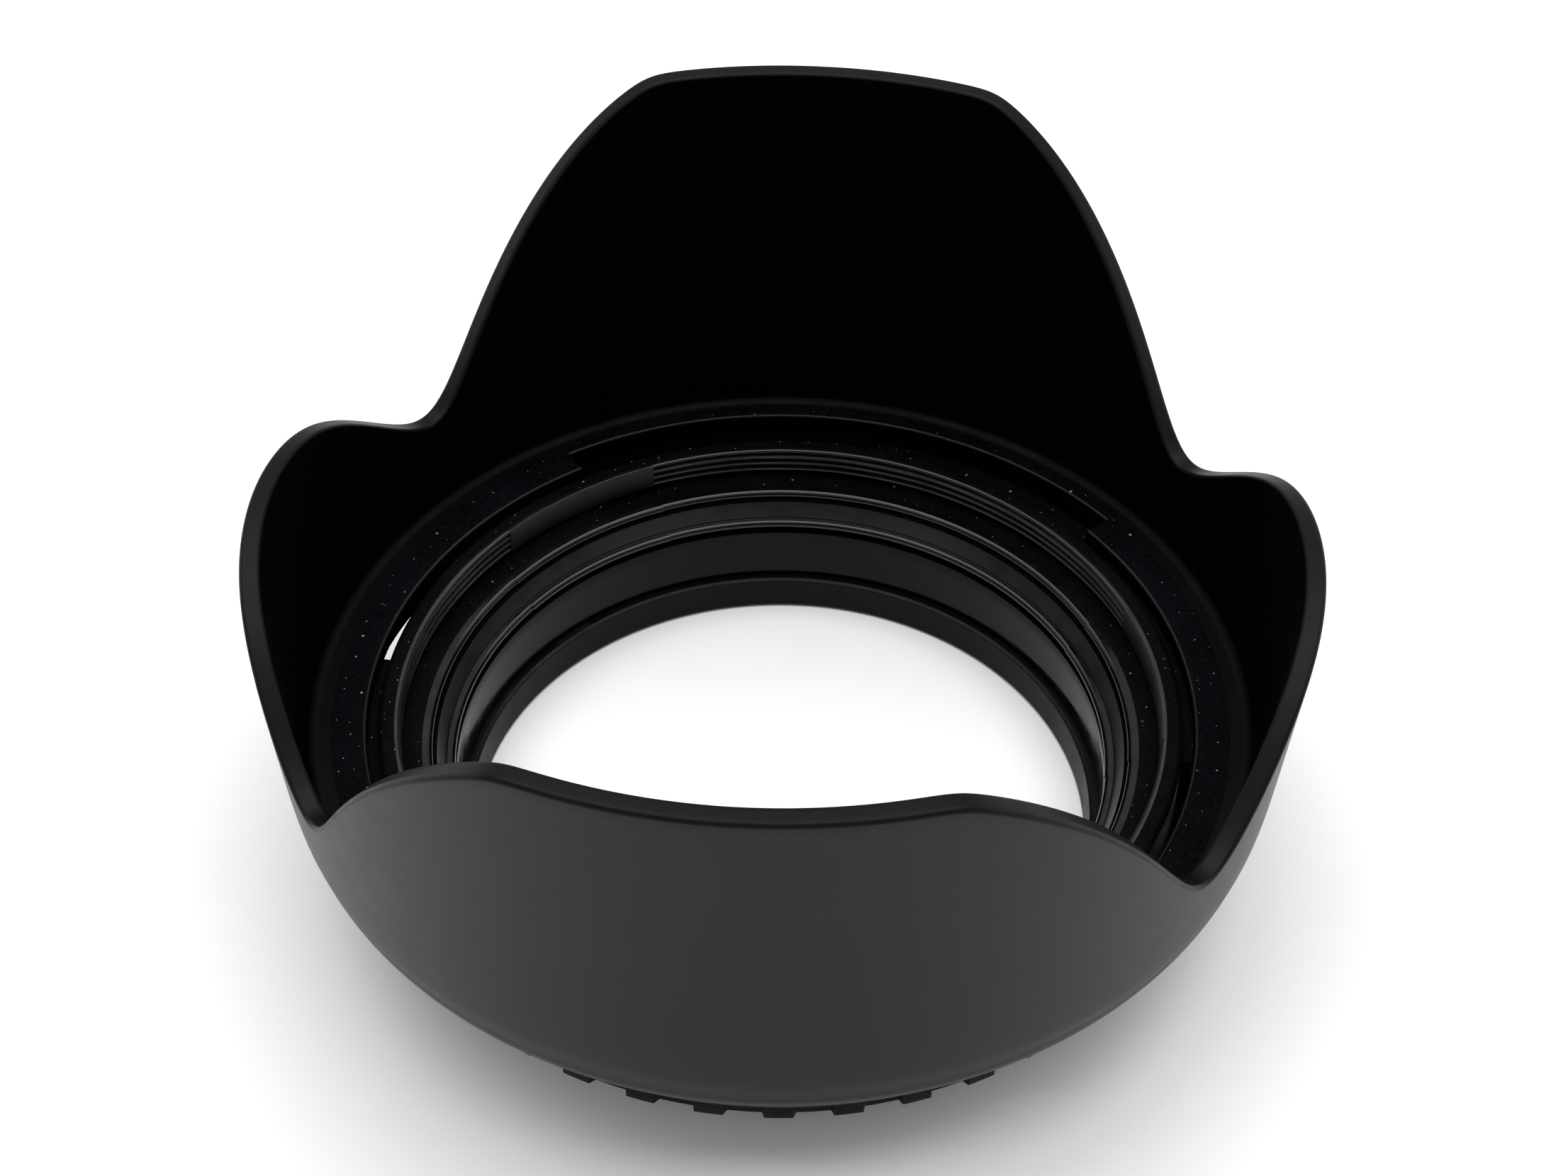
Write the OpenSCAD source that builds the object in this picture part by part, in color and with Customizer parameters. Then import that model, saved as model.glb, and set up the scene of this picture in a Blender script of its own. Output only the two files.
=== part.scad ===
// Petal lens hood that screws into a lens's filter thread.
// Z runs along the optical axis, from the lens (z = 0) to the subject; the two long petals lie on Y.
// A thread ring stays on the lens. The filter barrel turns on it until the petals are upright, and
// the ribbed lock ring then clamps it. The petal hood twists onto the barrel's two bayonet lugs.

/* [Petals] */
// Height of the two long petals above the lens end
long_petal_h = 50.8; // [46:0.1:58]
// Height of the two short petals above the lens end
short_petal_h = 35.5; // [30:0.1:40]
// Height of the lowest points of the four notches between the petals
notch_h = 24.3; // [23:0.1:27]
// Angle from the long petal's middle to the notch
notch_angle = 53.5; // [50:0.5:58]
// Thickness of the petal wall
wall_t = 1.7; // [1.4:0.1:2]

/* [Hood shell] */
// Outer radius of the wall just above the bottom corner
shell_r = 42.4; // [42.2:0.1:44]
// How far the wall flares outwards from there to the long petals' tips
flare = 3.3; // [1:0.1:5]
// Height of the floor inside the hood
floor_z = 15.5; // [15:0.1:16]
// Thickness of the floor
floor_t = 2.4; // [2:0.1:2.6]

/* [Bayonet] */
// Inner radius of the two tabs of the floor
tab_r = 35.9; // [35.6:0.1:36.4]
// Inner radius of the floor in the two gaps between the tabs
gap_r = 38.4; // [38.2:0.1:38.6]
// Where each gap begins, as an angle from X
gap_start = 42; // [38:1:46]
// Width of each gap
gap_angle = 85; // [80:1:90]
// Width of each lug of the barrel
lug_angle = 85; // [80:1:88]
// How far each lug reaches into its gap when the hood is locked
lug_reach = 38; // [34:1:42]
// How far the hood turns between locked and free
twist_angle = 19; // [15:1:20]

/* [Threads] */
// Radius over the crests of the thread that goes into the lens
lens_thread_r = 29; // [28.9:0.1:29.2]
// Radius inside the crests of the thread that takes a filter or a cap
filter_thread_r = 33.07; // [32.8:0.01:33.3]
// Pitch of both threads
pitch = 0.75; // [0.7:0.05:0.8]
// Radius of the clear opening at the lens end
opening_r = 27.6; // [27:0.1:27.8]

/* [Lock ring] */
// Radius over the ribs
grip_r = 37.4; // [37.2:0.1:38]
// Number of ribs
rib_count = 42; // [30:1:48]
// Height of the ribs above the ring between them
rib_h = 0.8; // [0.4:0.1:1]
// Angle at which the first rib begins when the ring is locked
rib_start = 6.8; // [0:0.1:8]

/* [Hidden] */
$fn = 180;
cut = 0.01;
bite = 0.3;
play = 0.08;
seat_gap = 0.02;
black = [0.11, 0.11, 0.115];
inner_black = [0.06, 0.06, 0.065];
anodised = [0.16, 0.16, 0.17];
washer_grey = [0.3, 0.3, 0.3];

// Rim outline: a flat long petal and a bowed short one, joined by curved flanks
flank_slope = 1.41;
flank_bow = 0.0155;
shoulder_slope = 0.695;
short_bow = 0.0073;
petal_corner = 0.35;
shoulder_corner = 1.5;
notch_round = 5.3;
flank_share = shoulder_slope / (flank_slope + shoulder_slope);
valley_h = notch_h
    + notch_round * (flank_share * ln(flank_share) + (1 - flank_share) * ln(1 - flank_share));
rim_step = 3;
rim_mean_r = 43.4;
above_all = long_petal_h + 5;

// Shell profile
corner_r = 3;
floor_underside = floor_z - floor_t;
shell_knee_z = floor_underside + corner_r;
flare_steps = 8;
floor_corner_r = 1;

// Bayonet levels, from the bottom up
ledge_t = 1.85;
ledge_z = 10.2;
lug_z = ledge_z + ledge_t + seat_gap;
tab_t = 1.6;
tab_z = floor_z - tab_t;
lug_t = tab_z - seat_gap - lug_z;
collar_in = 37.7;
collar_t = 1.5;
lug_r = collar_in - play;
ledge_r = 35.15;
stop_r = 36.5;
stop_top = tab_z - 0.5;
stop_angle = 3;
stop_gap = 0.4;
lug_end = gap_start + lug_reach;
lug_start = lug_end - lug_angle;
ledge_start = lug_end - twist_angle + 1;
ledge_angle = twist_angle - 1;

// Barrel
barrel_r = 34.94;
barrel_top = floor_z;
rim_chamfer = 0.35;
ledge_f_z = 12.4;
nose_f_r = 30.5;
nose_g_r = 28.7;
nose_g_z = 10.1;
bore_r = 28.7;
skirt_bottom = 3.5;
skirt_r = 29.82;
clamp_z = 7.64;
outer_skirt_r = 33.8;
outer_skirt_bottom = 6.6;
lock_thread_r = 35.3;
lock_thread_top = 9.75;
relief_r = 33.9;
thread_depth = 0.43;
thread_low = 12.9;
thread_start = thread_low + 0.05;
thread_turns = 3;
panel_angle = 28;
panel_gap = 0.3;
thread_base = filter_thread_r + thread_depth + 2 * bite;
panel_middle = 10.6;
panel_top = barrel_top - 0.05;
core_pocket_top = 11;

// Thread ring
sleeve_in = 29.9;
sleeve_out = 31.2;
web_top = 3.2;
shoulder_z = 2.6;
flange_r = 33.6;
flange_low = 6.4;
flange_top = clamp_z - seat_gap;
lip_r = 27.9;
lip_top = 3.05;

// Lock ring and washer
lock_bottom = 4.9;
lock_bevel = 1.1;
lock_lip_top = 6;
lock_top = 9.6;
lock_lip_r = 31.5;
lock_bore_r = lock_thread_r + play;
washer_in = 31.6;
washer_out = 33.5;

function smooth_min(a, b, k) = -k * ln(exp(-a / k) + exp(-b / k));
function smooth_max(a, b, k) = k * ln(exp(a / k) + exp(b / k));
function long_side(a) =
    let (d = notch_angle - a)
    smooth_min(long_petal_h, valley_h + flank_slope * d - flank_bow * d * abs(d), petal_corner);
function short_side(a) =
    smooth_min(short_petal_h - short_bow * (90 - a) * (90 - a),
        valley_h + shoulder_slope * (a - notch_angle), shoulder_corner);
function rim_z(a) = smooth_max(long_side(a), short_side(a), notch_round);
// Wall radius at height z: rises quickly above the corner, then flares gently to the tips
function wall_r(z) =
    let (t = (z - shell_knee_z) / (long_petal_h - shell_knee_z))
    shell_r + 0.5 * flare * t * t + 0.5 * flare * sqrt(max(t, 0));
function arc(x, y, r, from, to, steps) =
    [for (i = [0:steps]) let (a = from + (to - from) * i / steps) [x + r * cos(a), y + r * sin(a)]];
// One thread in section, as ridges that begin at height low. Roots lie at r_root, which is inside
// the wall where the ridges stand on one, and crests are flat at r_crest
function thread_points(r_root, r_crest, low, turns) =
    [for (i = [0:turns - 1], c = [[0, r_root], [0.39, r_crest], [0.61, r_crest], [1, r_root]])
        [c[1], low + (i + c[0]) * pitch]];

// Ring sector with a rectangular section
module sector(r_in, r_out, low, high, start, angle) {
    rotate([0, 0, start])
        rotate_extrude(angle = angle)
            translate([r_in, low])
                square([r_out - r_in, high - low]);
}

// Outline of what is cut away between two petals, drawn in the plane that faces the notch
module notch_outline() {
    side = rim_mean_r * sin(notch_angle);
    other = rim_mean_r * sin(90 - notch_angle);
    rim = [for (a = [0:rim_step:90]) [rim_mean_r * sin(a - notch_angle), rim_z(a)]];
    polygon(concat([[-side - 6, above_all], [-side - 6, long_petal_h + cut]], rim,
        [[other + 6, short_petal_h], [other + 6, above_all]]));
}

module notch_cutter() {
    rotate([0, 0, 90 - notch_angle])
        rotate([90, 0, 90])
            mirror([1, 0, 0])
                linear_extrude(height = 60)
                    notch_outline();
}

module petal_hood() {
    outer = concat(
        arc(wall_r(shell_knee_z) - corner_r, shell_knee_z, corner_r, -90, 0, 6),
        [for (i = [1:flare_steps])
            let (z = shell_knee_z + (long_petal_h - shell_knee_z) * i / flare_steps) [wall_r(z), z]]);
    inner = concat(
        [for (i = [flare_steps:-1:1])
            let (z = shell_knee_z + (long_petal_h - shell_knee_z) * i / flare_steps)
            [wall_r(z) - wall_t, z]],
        arc(wall_r(shell_knee_z) - wall_t - floor_corner_r, floor_z + floor_corner_r,
            floor_corner_r, 0, -90, 4));
    color(black) {
        difference() {
            union() {
                rotate_extrude()
                    polygon(concat([[collar_in, ledge_z], [collar_in + collar_t, ledge_z],
                        [collar_in + collar_t, floor_underside]], outer, inner,
                        [[gap_r, floor_z], [gap_r, floor_underside], [collar_in, floor_underside]]));
                for (turn = [0, 180]) {
                    sector(tab_r, gap_r + bite, tab_z, floor_z, turn + gap_start + gap_angle,
                        180 - gap_angle);
                    sector(ledge_r, collar_in + bite, ledge_z, ledge_z + ledge_t,
                        turn + ledge_start, ledge_angle);
                    sector(stop_r, collar_in + bite, ledge_z, stop_top,
                        turn + lug_end + stop_gap, stop_angle);
                    sector(stop_r, collar_in + bite, ledge_z, stop_top,
                        turn + lug_start - twist_angle - stop_gap - stop_angle, stop_angle);
                }
            }
            for (flip = [0, 1], turn = [0, 1])
                mirror([flip, 0, 0])
                    mirror([0, turn, 0])
                        notch_cutter();
        }
    }
}

module filter_barrel() {
    color(inner_black) {
        rotate_extrude()
            polygon(concat(
                [[bore_r, skirt_bottom], [skirt_r, skirt_bottom], [skirt_r, clamp_z],
                    [sleeve_out, clamp_z], [sleeve_out + 0.4, core_pocket_top],
                    [flange_r - 0.6, core_pocket_top], [flange_r - 0.4, clamp_z],
                    [outer_skirt_r, clamp_z], [outer_skirt_r, outer_skirt_bottom],
                    [lock_thread_r, outer_skirt_bottom], [lock_thread_r, lock_thread_top],
                    [barrel_r, lock_thread_top], [barrel_r, barrel_top - rim_chamfer],
                    [barrel_r - rim_chamfer, barrel_top],
                    [filter_thread_r + 0.15, barrel_top]],
                [[filter_thread_r + thread_depth, barrel_top - 0.3],
                    [filter_thread_r + thread_depth, thread_low], [relief_r, thread_low],
                    [relief_r, ledge_f_z]],
                arc(nose_f_r + 0.45, ledge_f_z - 0.45, 0.45, 90, 230, 6),
                [[nose_f_r + 0.75, ledge_f_z - 1], [nose_g_r + 1.3, ledge_f_z - 1.2],
                    [nose_g_r + 0.8, nose_g_z + 0.1]],
                arc(nose_g_r + 0.4, nose_g_z - 0.4, 0.4, 90, 230, 6),
                [[nose_g_r + 0.55, nose_g_z - 1], [bore_r, nose_g_z - 1.2]]));
        for (part = [0:2]) {
            middle = panel_middle + part * 120;
            sector(filter_thread_r, thread_base, thread_start, panel_top,
                middle - panel_angle / 2, panel_angle);
            rotate([0, 0, middle + panel_angle / 2 + panel_gap])
                rotate_extrude(angle = 120 - panel_angle - 2 * panel_gap)
                    polygon(concat([[thread_base, thread_start]],
                        thread_points(thread_base - bite, filter_thread_r, thread_start, thread_turns),
                        [[thread_base, thread_start + thread_turns * pitch]]));
        }
        for (turn = [0, 180])
            sector(barrel_r - bite, lug_r, lug_z, lug_z + lug_t, turn + lug_start, lug_angle);
    }
}

module lens_thread_ring() {
    color(anodised)
        rotate_extrude()
            polygon(concat(
                [[opening_r, 0], [lens_thread_r - thread_depth, 0]],
                thread_points(lens_thread_r - thread_depth, lens_thread_r, 0.05, thread_turns),
                [[lens_thread_r - thread_depth, shoulder_z], [sleeve_out, shoulder_z],
                    [sleeve_out, flange_low], [flange_r, flange_low], [flange_r, flange_top],
                    [sleeve_in, flange_top], [sleeve_in, web_top], [lip_r + 0.3, web_top],
                    [lip_r, lip_top]]));
}

module lock_ring() {
    rib_angle = 360 / rib_count;
    color(black) {
        rotate_extrude()
            polygon([[lock_lip_r, lock_bottom], [grip_r - rib_h - lock_bevel, lock_bottom],
                [grip_r - rib_h, lock_bottom + lock_bevel], [grip_r - rib_h, lock_top],
                [lock_bore_r, lock_top], [lock_bore_r, lock_lip_top], [lock_lip_r, lock_lip_top]]);
        for (i = [0:rib_count - 1])
            rotate([0, 0, rib_start + i * rib_angle])
                rotate_extrude(angle = rib_angle / 2)
                    polygon([[grip_r - rib_h - bite, lock_bottom + lock_bevel + 0.05],
                        [grip_r - 0.3, lock_bottom + lock_bevel + 0.05],
                        [grip_r, lock_bottom + lock_bevel + 0.35], [grip_r, lock_top - 0.4],
                        [grip_r - 0.3, lock_top - 0.05], [grip_r - rib_h - bite, lock_top - 0.05]]);
    }
}

module slip_washer() {
    color(washer_grey)
        difference() {
            translate([0, 0, lock_lip_top + seat_gap])
                cylinder(r = washer_out, h = flange_low - lock_lip_top - 2 * seat_gap);
            cylinder(r = washer_in, h = flange_low);
        }
}

petal_hood();
filter_barrel();
lens_thread_ring();
lock_ring();
slip_washer();
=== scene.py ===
import math

import bmesh
import bpy
import numpy as np
from mathutils import Matrix, Vector

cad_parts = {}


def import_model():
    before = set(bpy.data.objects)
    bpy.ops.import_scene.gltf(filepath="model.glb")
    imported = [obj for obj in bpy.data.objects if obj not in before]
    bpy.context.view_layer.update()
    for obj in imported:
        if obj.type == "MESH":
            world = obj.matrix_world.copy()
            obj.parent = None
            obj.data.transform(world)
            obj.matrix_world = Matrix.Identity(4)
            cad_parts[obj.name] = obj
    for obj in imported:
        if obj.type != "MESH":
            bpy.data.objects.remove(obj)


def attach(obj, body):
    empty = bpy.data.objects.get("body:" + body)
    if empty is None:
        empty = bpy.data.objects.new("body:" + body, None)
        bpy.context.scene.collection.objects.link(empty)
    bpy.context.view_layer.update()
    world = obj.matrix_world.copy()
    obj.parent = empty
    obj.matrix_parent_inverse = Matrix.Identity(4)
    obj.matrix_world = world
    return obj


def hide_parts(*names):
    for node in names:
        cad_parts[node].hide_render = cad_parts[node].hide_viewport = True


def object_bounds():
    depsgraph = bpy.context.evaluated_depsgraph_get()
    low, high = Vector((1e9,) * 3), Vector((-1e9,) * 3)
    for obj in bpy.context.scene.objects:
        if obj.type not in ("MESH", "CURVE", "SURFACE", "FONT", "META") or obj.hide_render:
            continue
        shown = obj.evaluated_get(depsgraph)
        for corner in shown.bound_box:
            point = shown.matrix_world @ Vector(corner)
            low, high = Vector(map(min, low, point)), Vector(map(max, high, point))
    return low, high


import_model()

CAD_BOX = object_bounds()
MM = 0.001

# ---------------------------------------------------------------- sizes, in millimetres and degrees
# Petals. Angles of the rim run from a long petal's middle; slopes are millimetres a degree.
LONG_H = 50.8
SHORT_H = 35.5
NOTCH_H = 24.3
NOTCH_ANGLE = 53.5
FLANK_SLOPE = 1.41
FLANK_BOW = 0.0155
SHOULDER_SLOPE = 0.695
SHORT_BOW = 0.0073
PETAL_CORNER = 0.35
SHOULDER_CORNER = 1.5
NOTCH_ROUND = 5.3
FLANK_SHARE = SHOULDER_SLOPE / (FLANK_SLOPE + SHOULDER_SLOPE)
VALLEY_H = NOTCH_H + NOTCH_ROUND * (FLANK_SHARE * math.log(FLANK_SHARE)
                                    + (1 - FLANK_SHARE) * math.log(1 - FLANK_SHARE))
WALL_T = 1.7
SHELL_R = 42.4
FLARE = 3.3
RIM_R = 43.4
RIM_ROUND_OUT = 0.4
RIM_ROUND_IN = 0.3

# Hood floor and bayonet
FLOOR_Z = 15.5
FLOOR_CORNER_R = 1.0
FOOT_H = 0.45
UNDERSIDE_Z = 13.1
CORNER_R = 3.0
KNEE_Z = UNDERSIDE_Z + CORNER_R
TAB_R = 35.9
TAB_T = 1.6
TAB_Z = FLOOR_Z - TAB_T
TAB_ROUND = 0.22
GAP_R = 38.4
GAP_START = 42.0
GAP_ANGLE = 85.0
COLLAR_IN = 37.7
COLLAR_T = 1.5
COLLAR_R = COLLAR_IN + COLLAR_T
TWIST = 19.0
PLAY = 0.08
SEAT_GAP = 0.02
LEDGE_Z = 10.2
LEDGE_T = 1.85
LEDGE_TOP = LEDGE_Z + LEDGE_T
LEDGE_R = 35.15
LEDGE_CLEARANCE = 1.0
STOP_R = 36.5
STOP_TOP = TAB_Z - 0.5
STOP_ANGLE = 3.0
STOP_PLAY = 0.4
LUG_Z = LEDGE_TOP + SEAT_GAP
LUG_TOP = TAB_Z - SEAT_GAP
LUG_R = COLLAR_IN - PLAY
LUG_ANGLE = 85.0
LUG_REACH = 38.0
LUG_END = GAP_START + LUG_REACH
LUG_START = LUG_END - LUG_ANGLE
LUG_CHAMFER = 0.2

# Barrel, with a lower and an upper nose on its bore and a grainy ledge outside the upper one
BARREL_R = 34.94
BARREL_CHAMFER = 0.3
BORE_R = 28.7
LOWER_NOSE_R = 28.7
LOWER_NOSE_Z = 10.1
LOWER_NOSE_ROUND = 0.4
UPPER_NOSE_R = 30.5
UPPER_NOSE_Z = 12.4
UPPER_NOSE_ROUND = 0.45
RELIEF_R = 33.9
SKIRT_BOTTOM = 3.5
SKIRT_R = 29.82
SKIRT_CHAMFER = 0.15
POCKET_TOP = 11.0
CLAMP_Z = 7.64
FILTER_R = 33.07
THREAD_DEPTH = 0.43
THREAD_LOW = 12.9
THREAD_START = 12.47
PITCH = 0.75
PANEL_COUNT = 3
PANEL_ANGLE = 28.0
PANEL_MIDDLE = 10.6
CORE_SEGMENT = 32.0
CORE_OVERLAP = 4.0
CORE_STEP = 0.07
LOCK_THREAD_R = 35.3
LOCK_THREAD_LOW = 6.9
LOCK_THREAD_TOP = 9.75

# Thread ring, lock ring and washer
OPENING_R = 27.6
LENS_R = 29.0
LIP_R = 27.9
LIP_TOP = 3.05
WEB_TOP = 3.2
SHOULDER_Z = 2.6
SLEEVE_IN = 29.9
SLEEVE_OUT = 31.2
FLANGE_R = 33.6
FLANGE_LOW = 6.4
FLANGE_TOP = 7.62
GRIP_R = 37.4
RIB_H = 0.8
RIBS = 42
RIB_START = 6.8
LOCK_BOTTOM = 4.9
LOCK_BEVEL = 1.1
LOCK_LIP_TOP = 6.0
LOCK_TOP = 9.6
LOCK_LIP_R = 31.5
LOCK_BORE_R = 35.38
WASHER_IN = 31.6
WASHER_OUT = 33.5
WASHER_ROUND = 0.06

# Fineness of the meshes
COLUMNS = 900
WALL_ROWS = 30
WELD_M = 2e-7
SHARP_ANGLE = 32.0


# ---------------------------------------------------------------- curves and profiles
def smooth_min(a, b, k):
    return -k * np.logaddexp(-a / k, -b / k)


def smooth_max(a, b, k):
    return k * np.logaddexp(a / k, b / k)


def from_long_petal(theta):
    """Angle from the nearest long petal's middle, 0 to 90 degrees, for an azimuth from X."""
    turn = np.mod(np.asarray(theta, float) - 90.0, 180.0)
    return np.minimum(turn, 180.0 - turn)


def rim_z(theta):
    """Height of the rim: a flat long petal and a bowed short one, joined by curved flanks."""
    a = from_long_petal(theta)
    d = NOTCH_ANGLE - a
    flank = VALLEY_H + FLANK_SLOPE * d - FLANK_BOW * d * np.abs(d)
    long_side = smooth_min(np.full_like(a, LONG_H), flank, PETAL_CORNER)
    short_petal = SHORT_H - SHORT_BOW * (90 - a) ** 2
    short_side = smooth_min(short_petal, VALLEY_H - SHOULDER_SLOPE * d, SHOULDER_CORNER)
    return smooth_max(long_side, short_side, NOTCH_ROUND)


def wall_r(z):
    """Outer radius of the flared wall at a height."""
    t = np.clip((np.asarray(z, float) - KNEE_Z) / (LONG_H - KNEE_Z), 0, None)
    return SHELL_R + 0.5 * FLARE * t * t + 0.5 * FLARE * np.sqrt(t)


def in_sector(theta, start, width):
    return np.mod(theta - start, 360.0) <= width


def arc(x, y, r, a0, a1, n):
    """n points of an arc about (x, y), from angle a0 to a1."""
    a = np.radians(np.linspace(a0, a1, n))
    return np.stack([x + r * np.cos(a), y + r * np.sin(a)], 1)


def quarter(steps):
    """Angles of the points of a quarter round, in radians."""
    return [math.radians(90 * k / steps) for k in range(steps + 1)]


def rounded(corners):
    """Points of a closed outline whose corners are (r, z, radius), each rounded by an arc."""
    steps = 4
    straight = math.radians(88)
    out = []
    n = len(corners)
    for i in range(n):
        p = np.array(corners[i][:2], float)
        before = np.array(corners[i - 1][:2], float) - p
        after = np.array(corners[(i + 1) % n][:2], float) - p
        radius = corners[i][2]
        la, lb = np.linalg.norm(before), np.linalg.norm(after)
        before, after = before / la, after / lb
        half = 0.5 * math.acos(float(np.clip(before @ after, -1, 1)))
        if radius <= 0 or half > straight:
            out.append(p)
            continue
        reach = min(radius / math.tan(half), 0.45 * la, 0.45 * lb)
        radius = reach * math.tan(half)
        middle = p + (before + after) / np.linalg.norm(before + after) * radius / math.sin(half)
        a = math.atan2(*(p + before * reach - middle)[::-1])
        b = math.atan2(*(p + after * reach - middle)[::-1])
        sweep = (b - a + math.pi) % (2 * math.pi) - math.pi
        for k in range(steps + 1):
            t = a + sweep * k / steps
            out.append(middle + radius * np.array([math.cos(t), math.sin(t)]))
    return np.array(out)


def thread_wave(phase):
    """Height of a 60 degree thread over its root, 0 to 1, where phase runs 0 to 1 per turn."""
    p = np.abs(np.mod(phase, 1.0) - 0.5) * 2
    return np.clip((0.86 - p) / 0.62, 0, 1)


def azimuths(doubled):
    """Azimuths round the circle, with two columns at each azimuth in doubled, where a step stands.
    Returns the azimuths to place the columns at, and the azimuths to ask what is there."""
    even = [360.0 * i / COLUMNS for i in range(COLUMNS)]
    doubled = sorted({round(a % 360.0, 6) for a in doubled})
    close = 120.0 / COLUMNS
    beside = 1e-4
    place = [a for a in even if all(abs((a - d + 180) % 360 - 180) > close for d in doubled)]
    ask = list(place)
    for d in doubled:
        place += [d, d]
        ask += [d - beside, d + beside]
    order = np.argsort(ask, kind="stable")
    return np.array(place)[order], np.array(ask)[order]


# ---------------------------------------------------------------- meshes
class Section:
    """The rows of a ring's closed section. Each row has a radius, a height, a material and a shift
    along the rim in millimetres, and each of them is one value or one value per azimuth."""

    def __init__(self, place):
        self.place = place
        self.rows = []

    def add(self, r, z, material=0, shift=0.0):
        angle = self.place + np.degrees(np.asarray(shift) / RIM_R)
        self.rows.append([np.broadcast_to(v, self.place.shape) for v in (angle, r, z, material)])

    def add_all(self, points, material=0):
        for r, z in points:
            self.add(r, z, material)

    def grids(self):
        """Angles, radii, heights and materials, with a column per azimuth and a row per point."""
        return [np.stack(values, 1) for values in zip(*self.rows)]


def lathe(name, section, body, node, materials):
    """A closed ring from its section, riding on a body and standing for a CAD node."""
    angle, r, z, material = section.grids()
    columns, rows = r.shape
    a = np.radians(angle)
    points = np.stack([r * np.cos(a), r * np.sin(a), z], -1).reshape(-1, 3) * MM
    i = np.arange(columns)[:, None]
    j = np.arange(rows)[None, :]
    i2, j2 = (i + 1) % columns, (j + 1) % rows
    corners = (i * rows + j, i2 * rows + j, i2 * rows + j2, i * rows + j2)
    faces = np.stack([np.broadcast_to(v, (columns, rows)) for v in corners], -1)
    mesh = bpy.data.meshes.new(name)
    mesh.from_pydata(points.tolist(), [], faces.reshape(-1, 4).tolist())
    for m in materials:
        mesh.materials.append(m)
    mesh.polygons.foreach_set("material_index", material.astype(np.int32).ravel())
    bm = bmesh.new()
    bm.from_mesh(mesh)
    bmesh.ops.remove_doubles(bm, verts=bm.verts, dist=WELD_M)
    bmesh.ops.dissolve_degenerate(bm, edges=bm.edges, dist=WELD_M)
    bmesh.ops.recalc_face_normals(bm, faces=bm.faces)
    bm.to_mesh(mesh)
    bm.free()
    mesh.polygons.foreach_set("use_smooth", [True] * len(mesh.polygons))
    mesh.set_sharp_from_angle(angle=math.radians(SHARP_ANGLE))
    piece = bpy.data.objects.new(name, mesh)
    bpy.context.scene.collection.objects.link(piece)
    weighted = piece.modifiers.new("weighted_normals", "WEIGHTED_NORMAL")
    weighted.keep_sharp = True
    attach(piece, body)
    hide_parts(node)
    return piece


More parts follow.
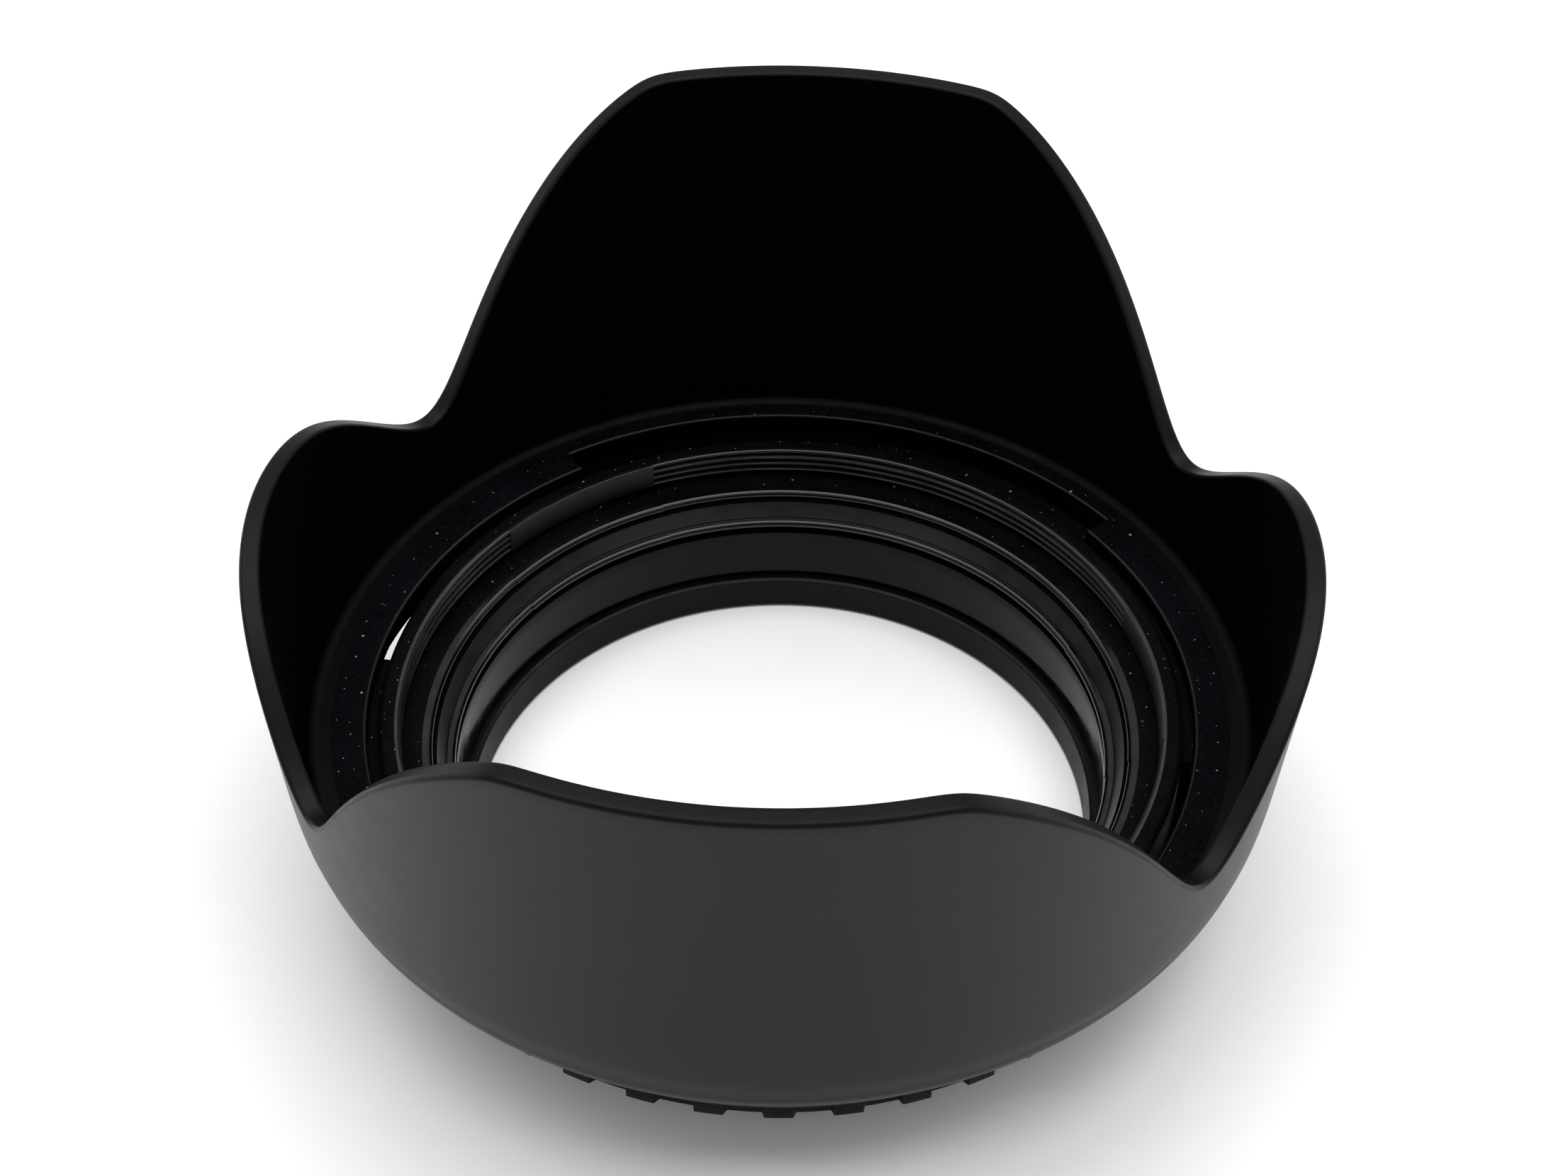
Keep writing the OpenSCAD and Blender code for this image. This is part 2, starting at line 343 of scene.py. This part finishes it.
def petal_hood(materials):
    OUTSIDE, INSIDE, FLOOR, EDGE, RIM, FOOT = range(6)
    # Steps round the floor's rim: gaps between the tabs, ledges under the lugs, and two stops a side
    stop_a = LUG_END + STOP_PLAY
    stop_b = LUG_START - TWIST - STOP_PLAY - STOP_ANGLE
    ledge_start = LUG_END - TWIST + LEDGE_CLEARANCE
    sectors = {"gap": [(GAP_START, GAP_ANGLE)],
               "ledge": [(ledge_start, stop_a - ledge_start)],
               "stop": [(stop_a, STOP_ANGLE), (stop_b, STOP_ANGLE)]}
    halves = {key: [(start + turn, width) for start, width in value for turn in (0, 180)]
              for key, value in sectors.items()}
    place, ask = azimuths([edge for value in halves.values() for start, width in value
                           for edge in (start, start + width)])
    gap, ledge, stop = (np.any([in_sector(ask, *sector) for sector in halves[key]], axis=0)
                        for key in ("gap", "ledge", "stop"))
    tab_r = np.where(gap, GAP_R, TAB_R)
    mid_r = np.where(stop, STOP_R, COLLAR_IN)
    low_r = np.where(stop, STOP_R, np.where(ledge, LEDGE_R, COLLAR_IN))

    # Rim curve, laid flat: the edge is rounded square to its own direction
    step = 0.01
    slope = (rim_z(place + step) - rim_z(place - step)) / (2 * math.radians(step) * RIM_R)
    lean = np.sqrt(1 + slope ** 2)
    top = rim_z(place)

    section = Section(place)
    # Underside, from the collar's inner edge outwards to the wall's knee
    collar_chamfer = 0.3
    collar = [(COLLAR_IN + collar_chamfer, LEDGE_Z, 0), (COLLAR_R, LEDGE_Z, collar_chamfer),
              (COLLAR_R, UNDERSIDE_Z, collar_chamfer), (COLLAR_R + 0.1, UNDERSIDE_Z, 0)]
    section.add_all(rounded(collar)[:-1], OUTSIDE)
    section.add_all(arc(SHELL_R - CORNER_R, KNEE_Z, CORNER_R, -90, 0, 14)[:-1], OUTSIDE)
    # Outside of the wall up to the rim's round
    high = top - RIM_ROUND_OUT / lean
    drift = RIM_ROUND_OUT * slope / lean
    for t in np.arange(WALL_ROWS) / WALL_ROWS:
        z = KNEE_Z + (high - KNEE_Z) * t
        section.add(wall_r(z), z, OUTSIDE, drift * t ** 3)
    # Rim: outer round, flat, inner round
    for a in quarter(6):
        down = RIM_ROUND_OUT * (1 - math.sin(a))
        z = top - down / lean
        section.add(wall_r(z) - RIM_ROUND_OUT * (1 - math.cos(a)), z, RIM, down * slope / lean)
    for t in (0.25, 0.5, 0.75):
        section.add(wall_r(top) - RIM_ROUND_OUT - (WALL_T - RIM_ROUND_OUT - RIM_ROUND_IN) * t, top, RIM)
    for k, a in enumerate(quarter(5)):
        down = RIM_ROUND_IN * (1 - math.cos(a))
        z = top - down / lean
        section.add(wall_r(z) - WALL_T + RIM_ROUND_IN * (1 - math.sin(a)), z, RIM if k < 4 else INSIDE,
                    down * slope / lean)
    # Inside of the wall down to the floor's fillet
    low = FLOOR_Z + FLOOR_CORNER_R
    high = top - RIM_ROUND_IN / lean
    drift = RIM_ROUND_IN * slope / lean
    for k in range(1, WALL_ROWS):
        t = 1 - k / WALL_ROWS
        z = low + (high - low) * t
        section.add(wall_r(z) - WALL_T, z, INSIDE, drift * t ** 3)
    fillet_r = wall_r(low) - WALL_T - FLOOR_CORNER_R
    for r, z in arc(fillet_r, low, FLOOR_CORNER_R, 0, -90, 9):
        section.add(r, z, INSIDE if z > FLOOR_Z + FOOT_H else FOOT)
    # Floor in to the edge of the tabs and gaps
    for t in (0.25, 0.5, 0.75):
        section.add(fillet_r * (1 - t) + (tab_r + TAB_ROUND) * t, FLOOR_Z, FLOOR)
    for k, a in enumerate(quarter(5)):
        section.add(tab_r + TAB_ROUND * (1 - math.sin(a)), FLOOR_Z - TAB_ROUND * (1 - math.cos(a)),
                    EDGE if k < 4 else INSIDE)
    # Under the tabs, then the stops and ledges inside the collar
    under = 0.15
    above = np.where(stop, STOP_R, GAP_R)
    section.add_all([(tab_r, TAB_Z + under), (np.minimum(tab_r + under, GAP_R), TAB_Z), (GAP_R, TAB_Z),
                     (GAP_R, STOP_TOP), (above, STOP_TOP), (above, UNDERSIDE_Z), (mid_r, UNDERSIDE_Z),
                     (mid_r, LEDGE_TOP), (low_r, LEDGE_TOP), (low_r, LEDGE_Z)], INSIDE)
    return lathe("hood_shell", section, "hood", "petal_hood", materials)


def filter_barrel(materials):
    GRAIN, POLISH, THREAD, PAINTED_SHADE, NOSE, LIP, PANEL, PAINTED_SHEEN = range(8)
    panels = [PANEL_MIDDLE + 360 / PANEL_COUNT * k - PANEL_ANGLE / 2 for k in range(PANEL_COUNT)]
    cores = [start + PANEL_ANGLE - CORE_SEGMENT + CORE_OVERLAP for start in panels]
    lugs = [LUG_START, LUG_START + 180]
    kinds = ((panels, PANEL_ANGLE), (cores, CORE_SEGMENT), (lugs, LUG_ANGLE))
    place, ask = azimuths([edge for starts, width in kinds for start in starts
                           for edge in (start, start + width)])
    in_panel, in_core, in_lug = (np.any([in_sector(ask, start, width) for start in starts], axis=0)
                                 for starts, width in kinds)
    core_step = np.where(in_core, CORE_STEP, 0.0)

    section = Section(place)
    # Bore wall up from the skirt to the groove under the lower nose
    section.add(BORE_R + SKIRT_CHAMFER, SKIRT_BOTTOM, POLISH)
    section.add(BORE_R, SKIRT_BOTTOM + SKIRT_CHAMFER, POLISH)
    section.add_all([(BORE_R, z) for z in (4.5, 6.0, 7.5)], POLISH)
    # The undercut under the lower nose is painted black: painted shade.
    section.add_all([(BORE_R, LOWER_NOSE_Z - 1.35), (BORE_R + 0.06, LOWER_NOSE_Z - 1.22),
                     (LOWER_NOSE_R + 0.5, LOWER_NOSE_Z - 1.1),
                     (LOWER_NOSE_R + 0.55, LOWER_NOSE_Z - 0.95)], PAINTED_SHADE)
    # Lower nose, the wall and groove above it, and the upper nose; the wall is lightened as a painted
    # sheen
    for r, z in arc(LOWER_NOSE_R + LOWER_NOSE_ROUND, LOWER_NOSE_Z - LOWER_NOSE_ROUND, LOWER_NOSE_ROUND,
                    230, 90, 12):
        section.add(r - core_step, z, NOSE)
    # A thin step at the foot of the wall between the noses is painted black: painted shade.
    section.add(LOWER_NOSE_R + 0.72, LOWER_NOSE_Z, PAINTED_SHADE)
    # The wall between the noses is lighter than the rest of the barrel: a painted sheen, standing for the
    # reflection it shows.
    section.add(LOWER_NOSE_R + 0.76, LOWER_NOSE_Z + 0.05, PAINTED_SHEEN)
    # The undercut under the upper nose is painted black: painted shade.
    section.add_all([(UPPER_NOSE_R - 0.3, UPPER_NOSE_Z - 0.95), (UPPER_NOSE_R - 0.05, UPPER_NOSE_Z - 0.9),
                     (UPPER_NOSE_R + 0.12, UPPER_NOSE_Z - 0.84)], PAINTED_SHADE)
    for r, z in arc(UPPER_NOSE_R + UPPER_NOSE_ROUND, UPPER_NOSE_Z - UPPER_NOSE_ROUND, UPPER_NOSE_ROUND,
                    230, 90, 14):
        section.add(r - core_step, z, NOSE)
    # Grainy ledge, relief groove and thread band
    section.add_all([(r, UPPER_NOSE_Z) for r in (31.4, 32.2, 33.0, 33.75)], GRAIN)
    # The relief groove is painted black: painted shade.
    section.add_all([(RELIEF_R, UPPER_NOSE_Z + 0.15), (RELIEF_R, THREAD_LOW - 0.05),
                     (RELIEF_R - 0.08, THREAD_LOW)], PAINTED_SHADE)
    root = FILTER_R + THREAD_DEPTH
    lip = FLOOR_Z - 0.36
    band = np.where(in_panel, PANEL, THREAD)
    section.add(np.where(in_panel, FILTER_R, root), THREAD_LOW, band)
    for z in np.linspace(THREAD_LOW + 0.02, lip, 66):
        wave = thread_wave((z - THREAD_START) / PITCH - ask / 360.0)
        fade = np.clip((z - THREAD_LOW) / 0.12, 0, 1) * np.clip((lip - z) / 0.15, 0, 1)
        section.add(np.where(in_panel, FILTER_R, root - THREAD_DEPTH * wave * fade), z, band)
    # Lip over the thread, sharper over the plain panels, and the front face
    lip_round = np.where(in_panel, 0.07, 0.2)
    for a in quarter(6):
        section.add(FILTER_R + 0.02 + lip_round * (1 - math.cos(a)),
                    FLOOR_Z - lip_round * (1 - math.sin(a)), LIP)
    section.add_all([(r, FLOOR_Z) for r in (33.5, 33.95, 34.35, BARREL_R - BARREL_CHAMFER - 0.06)], GRAIN)
    section.add(BARREL_R - BARREL_CHAMFER, FLOOR_Z - 0.03, THREAD)
    section.add(BARREL_R - 0.05, FLOOR_Z - 0.28, THREAD)
    section.add(BARREL_R, lip, GRAIN)
    # Outside: lugs, lock thread, skirts
    lug_r = np.where(in_lug, LUG_R, BARREL_R)
    chamfer_r = lug_r - np.where(in_lug, LUG_CHAMFER, 0)
    section.add(BARREL_R, LUG_TOP, GRAIN)
    section.add_all([(BARREL_R + (lug_r - BARREL_R) * t, LUG_TOP) for t in (0.3, 0.6)], GRAIN)
    section.add_all([(chamfer_r, LUG_TOP), (lug_r, LUG_TOP - LUG_CHAMFER), (lug_r, LUG_Z + LUG_CHAMFER),
                     (chamfer_r, LUG_Z), (BARREL_R, LUG_Z)], GRAIN)
    section.add_all([(BARREL_R, LOCK_THREAD_TOP + 0.1), (LOCK_THREAD_R - 0.02, LOCK_THREAD_TOP),
                     (LOCK_THREAD_R, LOCK_THREAD_TOP - 0.1), (LOCK_THREAD_R, LOCK_THREAD_LOW),
                     (LOCK_THREAD_R - 0.3, LOCK_THREAD_LOW - 0.3), (33.9, LOCK_THREAD_LOW - 0.3),
                     (33.8, LOCK_THREAD_LOW - 0.2), (33.8, CLAMP_Z), (33.2, CLAMP_Z), (33.0, POCKET_TOP),
                     (31.6, POCKET_TOP), (SLEEVE_OUT, CLAMP_Z), (SKIRT_R, CLAMP_Z),
                     (SKIRT_R, SKIRT_BOTTOM + SKIRT_CHAMFER), (SKIRT_R - SKIRT_CHAMFER, SKIRT_BOTTOM)],
                    GRAIN)
    return lathe("filter_barrel_body", section, "barrel", "filter_barrel", materials)


def lens_thread_ring(materials):
    theta = np.arange(720) * 0.5
    section = Section(theta)
    root = LENS_R - THREAD_DEPTH
    start = 0.1
    foot_r = OPENING_R + 0.2
    section.add_all([(foot_r, 0), (root - 0.25, 0), (root - 0.08, 0.06)])
    for z in np.linspace(start, SHOULDER_Z - 0.15, 70):
        turns = (z - start) / PITCH - theta / 360.0
        fade = np.clip((z - start) / 0.35, 0, 1) * np.clip((SHOULDER_Z - 0.3 - z) / 0.2, 0, 1)
        section.add(root + THREAD_DEPTH * thread_wave(turns) * fade, z)
    outline = [(root, SHOULDER_Z, 0.1), (SLEEVE_OUT, SHOULDER_Z, 0.25), (SLEEVE_OUT, FLANGE_LOW, 0.2),
               (FLANGE_R, FLANGE_LOW, 0.15), (FLANGE_R, FLANGE_TOP, 0.15), (SLEEVE_IN, FLANGE_TOP, 0.15),
               (SLEEVE_IN, WEB_TOP, 0.15), (LIP_R + 0.35, WEB_TOP, 0.1), (LIP_R, LIP_TOP, 0.12),
               (OPENING_R + 0.02, 0.25, 0.1), (foot_r, 0, 0)]
    section.add_all(rounded(outline)[:-1])
    return lathe("lens_thread_body", section, "lens_ring", "lens_thread_ring", materials)


def lock_ring(materials):
    columns = RIBS * 24
    theta = np.arange(columns) * 360.0 / columns
    phase = np.mod((theta - RIB_START) / (360.0 / RIBS), 1.0)
    # A rib stands on the first half of each pitch, with steep rounded sides
    side = np.abs(phase - 0.25)
    rib = np.clip((0.27 - side) / 0.055, 0, 1)
    rib = rib * rib * (3 - 2 * rib)
    section = Section(theta)
    base = GRIP_R - RIB_H
    bevel = LOCK_BOTTOM + LOCK_BEVEL
    foot, head = 0.38, 0.35
    rib_low = bevel + 0.08
    rib_high = LOCK_TOP - head
    section.add_all(rounded([(LOCK_LIP_R, LOCK_LIP_TOP, 0.15), (LOCK_LIP_R, LOCK_BOTTOM, 0.2),
                             (base - LOCK_BEVEL, LOCK_BOTTOM, 0.3), (base, bevel, 0.1),
                             (base, bevel + 0.1, 0)])[:-1])
    # The ribs' feet, faces and heads
    for a in quarter(6):
        section.add(base + RIB_H * math.sin(a) * rib, rib_low + foot * (1 - math.cos(a)))
    for t in (0.33, 0.66):
        section.add(base + RIB_H * rib, rib_low + foot + (rib_high - rib_low - foot) * t)
    for a in quarter(6):
        section.add(base + RIB_H * (0.35 + 0.65 * math.cos(a)) * rib, rib_high + 0.33 * math.sin(a))
    section.add(base - 0.1, LOCK_TOP)
    section.add_all(rounded([(base - 0.1, LOCK_TOP, 0), (LOCK_BORE_R, LOCK_TOP, 0.12),
                             (LOCK_BORE_R, LOCK_LIP_TOP, 0.1), (LOCK_LIP_R, LOCK_LIP_TOP, 0)])[1:-1])
    return lathe("lock_ring_body", section, "grip", "lock_ring", materials)


def slip_washer(materials):
    low, high = LOCK_LIP_TOP + SEAT_GAP, FLANGE_LOW - SEAT_GAP
    corners = [(WASHER_IN, low), (WASHER_OUT, low), (WASHER_OUT, high), (WASHER_IN, high)]
    section = Section(np.arange(360.0))
    section.add_all(rounded([(r, z, WASHER_ROUND) for r, z in corners]))
    return lathe("slip_washer_disc", section, "washer", "slip_washer", materials)


# ---------------------------------------------------------------- materials
DUST_COLOUR = (0.35, 0.34, 0.32)
DUST_CELL = 1.4


class Tree:
    """A new material and short calls for its nodes."""

    def __init__(self, name):
        self.material = bpy.data.materials.new(name)
        self.material.use_nodes = True
        self.nodes = self.material.node_tree.nodes
        self.links = self.material.node_tree.links
        self.shader = self.nodes["Principled BSDF"]
        self.where = self.nodes.new("ShaderNodeTexCoord").outputs["Object"]

    def noise(self, size_mm, detail, roughness=0.5):
        n = self.nodes.new("ShaderNodeTexNoise")
        n.inputs["Scale"].default_value = 1.0 / (size_mm * MM)
        n.inputs["Detail"].default_value = detail
        n.inputs["Roughness"].default_value = roughness
        self.links.new(self.where, n.inputs["Vector"])
        return n.outputs["Fac"]

    def mapped(self, value, from_min, from_max, to_min, to_max):
        n = self.nodes.new("ShaderNodeMapRange")
        limits = {"From Min": from_min, "From Max": from_max, "To Min": to_min, "To Max": to_max}
        for key, limit in limits.items():
            n.inputs[key].default_value = limit
        self.links.new(value, n.inputs["Value"])
        return n.outputs["Result"]

    def product(self, a, b):
        n = self.nodes.new("ShaderNodeMath")
        n.operation = "MULTIPLY"
        self.links.new(a, n.inputs[0])
        self.links.new(b, n.inputs[1])
        return n.outputs[0]

    def mix(self, factor, a, b):
        """Mixes colours a and b, each a colour of three numbers or another node's output."""
        n = self.nodes.new("ShaderNodeMix")
        n.data_type = "RGBA"
        factor_in, a_in, b_in = n.inputs[0], n.inputs[6], n.inputs[7]
        self.links.new(factor, factor_in)
        for value, socket in ((a, a_in), (b, b_in)):
            if isinstance(value, tuple):
                socket.default_value = value + (1,)
            else:
                self.links.new(value, socket)
        return n.outputs[2]

    def specks(self, share):
        """Sparse round specks of different sizes, 0 to share."""
        cells = self.nodes.new("ShaderNodeTexVoronoi")
        cells.voronoi_dimensions = "2D"
        cells.inputs["Scale"].default_value = 1.0 / (DUST_CELL * MM)
        self.links.new(self.where, cells.inputs["Vector"])
        split = self.nodes.new("ShaderNodeSeparateColor")
        self.links.new(cells.outputs["Color"], split.inputs["Color"])
        chance, size, _ = split.outputs
        apart = self.product(cells.outputs["Distance"], self.mapped(size, 0, 1, 0.8, 2.6))
        return self.product(self.mapped(apart, 0.09, 0.05, 0, 1), self.mapped(chance, 0.6, 1.0, 0, share))


def scaled(colour, factor):
    return tuple(c * factor for c in colour)


def plastic(name, colour, rough, grain, grain_depth, spec, mottle, dust=0.0, edge_wear_and_highlight=0.0, rough_spread=0.06):
    """Moulded or turned black surface. grain is the texture's size in millimetres and grain_depth its
    depth; mottle varies the colour, dust adds sparse specks, and the edge setting lightens sharp edges,
    partly as rubbed edges and partly as a painted highlight."""
    tree = Tree(name)
    fine = tree.noise(grain, 4, 0.6)
    cloud = tree.mapped(tree.noise(6.0, 3), 0.35, 0.65, 0, 1)
    tint = tree.mix(cloud, scaled(colour, 1 - mottle), scaled(colour, 1 + mottle))
    tint = tree.mix(tree.mapped(fine, 0.4, 0.72, 0, mottle), tint, scaled(colour, 1 + 4 * mottle))
    # Sharp edges are lightened, partly as rubbed edges and partly as a painted highlight along them.
    if edge_wear_and_highlight:
        edges = tree.nodes.new("ShaderNodeNewGeometry").outputs["Pointiness"]
        worn_and_highlit = tuple(c * 4 + 0.003 for c in colour)
        tint = tree.mix(tree.mapped(edges, 0.52, 0.62, 0, edge_wear_and_highlight), tint, worn_and_highlit)
    if dust:
        tint = tree.mix(tree.specks(dust), tint, DUST_COLOUR)
    gloss = tree.mapped(tree.noise(2.5, 4), 0.3, 0.7, rough - rough_spread, rough + rough_spread)
    bump = tree.nodes.new("ShaderNodeBump")
    bump.inputs["Strength"].default_value = 1.0
    bump.inputs["Distance"].default_value = grain_depth * MM
    tree.links.new(fine, bump.inputs["Height"])
    tree.links.new(tint, tree.shader.inputs["Base Color"])
    tree.links.new(gloss, tree.shader.inputs["Roughness"])
    tree.links.new(bump.outputs["Normal"], tree.shader.inputs["Normal"])
    tree.shader.inputs["Specular IOR Level"].default_value = spec
    return tree.material


# Hood: satin outside, flat black inside, grainy dusty floor, moulded edges
hood_outside = plastic("hood_satin", (0.0062, 0.0065, 0.0071), 0.38, grain=0.12, grain_depth=0.003,
                       spec=0.14, mottle=0.03, edge_wear_and_highlight=0.15, rough_spread=0.012)
hood_inside = plastic("hood_flat_black", (0.0005, 0.0005, 0.0006), 0.9, grain=0.3, grain_depth=0.02,
                      spec=0.015, mottle=0.2)
hood_floor = plastic("hood_spark_floor", (0.0006, 0.0007, 0.0011), 0.6, grain=0.34, grain_depth=0.12,
                     spec=0.03, mottle=0.9, dust=0.8)
hood_edge = plastic("hood_moulded_edge", (0.002, 0.002, 0.0022), 0.42, grain=0.2, grain_depth=0.01,
                    spec=0.2, mottle=0.2)
hood_rim = plastic("hood_rim", (0.0028, 0.0029, 0.003), 0.4, grain=0.15, grain_depth=0.004,
                   spec=0.09, mottle=0.1, edge_wear_and_highlight=0.2, rough_spread=0.03)
hood_foot = plastic("hood_foot", (0.0007, 0.0007, 0.001), 0.5, grain=0.3, grain_depth=0.05,
                    spec=0.06, mottle=0.3)

# Barrel: spark-eroded faces, a polished bore, glossy noses and lip, a satin wall between the noses whose
# lighter colour is a painted sheen, undercuts and grooves painted black as painted shade, and plain
# panels
barrel_grain = plastic("barrel_spark", (0.0007, 0.0007, 0.0011), 0.5, grain=0.26, grain_depth=0.08,
                       spec=0.03, mottle=0.8, dust=0.6)
barrel_polish = plastic("barrel_polish", (0.001, 0.001, 0.0013), 0.14, grain=0.5, grain_depth=0.001,
                        spec=0.12, mottle=0.2, edge_wear_and_highlight=0.3)
barrel_thread = plastic("barrel_thread", (0.0013, 0.0013, 0.0017), 0.34, grain=0.25, grain_depth=0.004,
                        spec=0.2, mottle=0.2, edge_wear_and_highlight=0.3)
# Black with almost no gloss, put in the undercuts and grooves as painted shade.
barrel_painted_shade = plastic("barrel_groove_painted_shade", (0.0006, 0.0006, 0.0008), 0.8, grain=0.25, grain_depth=0.02,
                      spec=0.02, mottle=0.3)
barrel_nose = plastic("barrel_nose", (0.0012, 0.0012, 0.0015), 0.17, grain=0.4, grain_depth=0.001,
                      spec=0.4, mottle=0.2, edge_wear_and_highlight=0.3)
# Lighter than the barrel's other faces: a painted sheen for the wall between the noses.
barrel_between_painted_sheen = plastic("barrel_between_painted_sheen", (0.0052, 0.0052, 0.006), 0.36, grain=0.4, grain_depth=0.001,
                         spec=0.5, mottle=0.15)
barrel_lip = plastic("barrel_lip", (0.002, 0.002, 0.0024), 0.26, grain=0.4, grain_depth=0.002,
                     spec=0.5, mottle=0.2, edge_wear_and_highlight=0.3)
barrel_panel = plastic("barrel_panel", (0.006, 0.006, 0.0068), 0.45, grain=0.2, grain_depth=0.004,
                       spec=0.3, mottle=0.15)

# Anodised thread ring, satin lock ring and the plain washer
anodised = plastic("ring_anodised", (0.0022, 0.0022, 0.0027), 0.36, grain=0.15, grain_depth=0.006,
                   spec=0.11, mottle=0.2, edge_wear_and_highlight=0.4)
grip_plastic = plastic("grip_satin", (0.002, 0.002, 0.0023), 0.5, grain=0.14, grain_depth=0.01,
                       spec=0.08, mottle=0.15, edge_wear_and_highlight=0.3)
washer_plastic = plastic("washer_plain", (0.2, 0.2, 0.2), 0.5, grain=0.2, grain_depth=0.005,
                         spec=0.5, mottle=0.1)

petal_hood([hood_outside, hood_inside, hood_floor, hood_edge, hood_rim, hood_foot])
filter_barrel([barrel_grain, barrel_polish, barrel_thread, barrel_painted_shade, barrel_nose, barrel_lip,
                       barrel_panel, barrel_between_painted_sheen])
lens_thread_ring([anodised])
lock_ring([grip_plastic])
slip_washer([washer_plastic])


# ---------------------------------------------------------------- stage, light and camera
def floor():
    """Plain white floor just under the hood."""
    half_width = 1.6
    below = 0.0001
    bm = bmesh.new()
    bmesh.ops.create_grid(bm, x_segments=2, y_segments=2, size=half_width)
    mesh = bpy.data.meshes.new("floor")
    bm.to_mesh(mesh)
    bm.free()
    m = bpy.data.materials.new("floor_white")
    m.use_nodes = True
    shader = m.node_tree.nodes["Principled BSDF"]
    shader.inputs["Base Color"].default_value = (0.86, 0.86, 0.86, 1)
    shader.inputs["Roughness"].default_value = 0.6
    shader.inputs["Specular IOR Level"].default_value = 0.2
    mesh.materials.append(m)
    obj = bpy.data.objects.new("floor", mesh)
    bpy.context.scene.collection.objects.link(obj)
    obj.location = (0, 0, CAD_BOX[0][2] - below)


def softbox(name, place, aim, size, watts):
    data = bpy.data.lights.new(name, "AREA")
    data.shape = "RECTANGLE"
    data.size, data.size_y = size
    data.energy = watts
    obj = bpy.data.objects.new(name, data)
    bpy.context.scene.collection.objects.link(obj)
    obj.location = place
    obj.rotation_euler = (Vector(aim) - Vector(place)).to_track_quat("-Z", "Y").to_euler()


def camera():
    """Looks down at the hood from the front, a little round from the long petal's middle."""
    elevation, azimuth, roll = math.radians(43.498), math.radians(4.6), math.radians(-0.304)
    # Where the origin lies from the camera: ahead of it, and to the left of and below its line of sight
    distance, left, below = 230.317 * MM, 0.232 * MM, 20.7367 * MM
    focal_length, sensor_width = 57.8327, 36.0
    right = Vector((1, 0, 0))
    up = Vector((0, math.sin(elevation), math.cos(elevation)))
    ahead = Vector((0, math.cos(elevation), -math.sin(elevation)))
    right_rolled = math.cos(roll) * right - math.sin(roll) * up
    up_rolled = math.sin(roll) * right + math.cos(roll) * up
    pose = Matrix((right_rolled, up_rolled, -ahead)).transposed().to_4x4()
    pose.translation = left * right + below * up - distance * ahead
    data = bpy.data.cameras.new("camera")
    data.sensor_width = sensor_width
    data.lens = focal_length
    data.clip_start = 0.01
    obj = bpy.data.objects.new("camera", data)
    bpy.context.scene.collection.objects.link(obj)
    obj.matrix_world = Matrix.Rotation(azimuth, 4, "Z") @ pose
    bpy.context.scene.camera = obj


def world():
    w = bpy.data.worlds.new("studio")
    w.use_nodes = True
    back = w.node_tree.nodes["Background"]
    back.inputs["Color"].default_value = (1, 1, 1, 1)
    back.inputs["Strength"].default_value = 0.6
    bpy.context.scene.world = w


floor()
world()
softbox("top", place=(0, 0.1, 0.9), aim=(0, 0, 0), size=(1.2, 1.0), watts=11)
for side, x in (("left", -0.8), ("right", 0.8)):
    softbox(side, place=(x, 0.25, 0.2), aim=(0, 0, 0.03), size=(0.8, 0.3), watts=1.2)
camera()
bpy.context.scene.view_settings.view_transform = "Standard"
